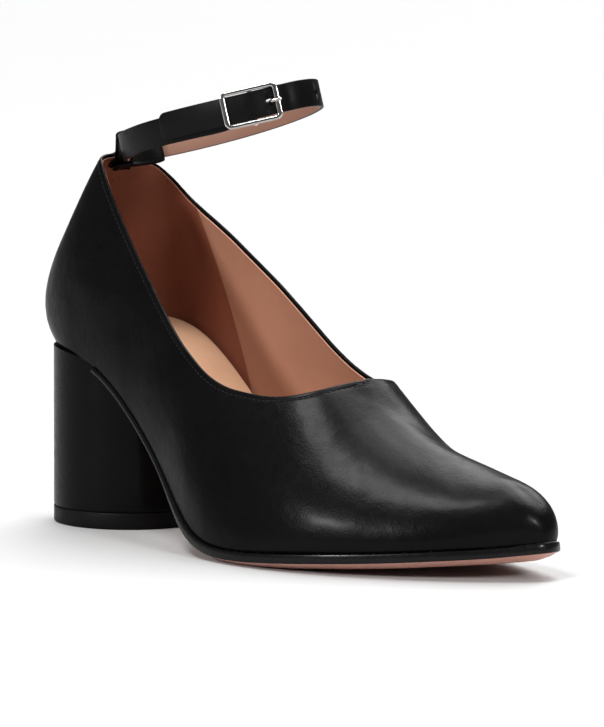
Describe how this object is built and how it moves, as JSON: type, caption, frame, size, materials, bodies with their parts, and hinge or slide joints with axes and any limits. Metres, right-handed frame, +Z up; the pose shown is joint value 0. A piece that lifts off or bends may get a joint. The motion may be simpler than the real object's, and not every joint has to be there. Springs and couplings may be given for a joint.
{
  "type": "block heel pump",
  "caption": "Closed-toe pump with a round block heel and a buckled ankle strap held by a loop of leather at the back of the collar; right shoe.",
  "frame": {"origin": "centre of the heel's face on the floor", "axes": "+X to the toe, +Y to the inner side of the foot, +Z up"},
  "size_m": [0.242, 0.0821, 0.163],
  "materials": {
    "upper_leather": "smooth calf, glossy",
    "insole_leather": "smooth nude leather, satin",
    "sole_leather": "smooth sole leather, satin, with a black edge",
    "heel_cover": "leather wrapped over the block, glossy",
    "lift_rubber": "hard rubber, satin",
    "strap_leather": "black outside, nude lining inside",
    "buckle_metal": "polished silver plate",
    "prong_metal": "polished silver plate",
    "tab_leather": "smooth calf, glossy"
  },
  "bodies": {
    "root": {"upper": "upper_leather", "insole": "insole_leather", "outsole": "sole_leather", "heel_block": "heel_cover", "top_lift": "lift_rubber", "ankle_strap": "strap_leather", "buckle_frame": "buckle_metal", "buckle_prong": "prong_metal", "back_tab": "tab_leather"}
  },
  "joints": []
}
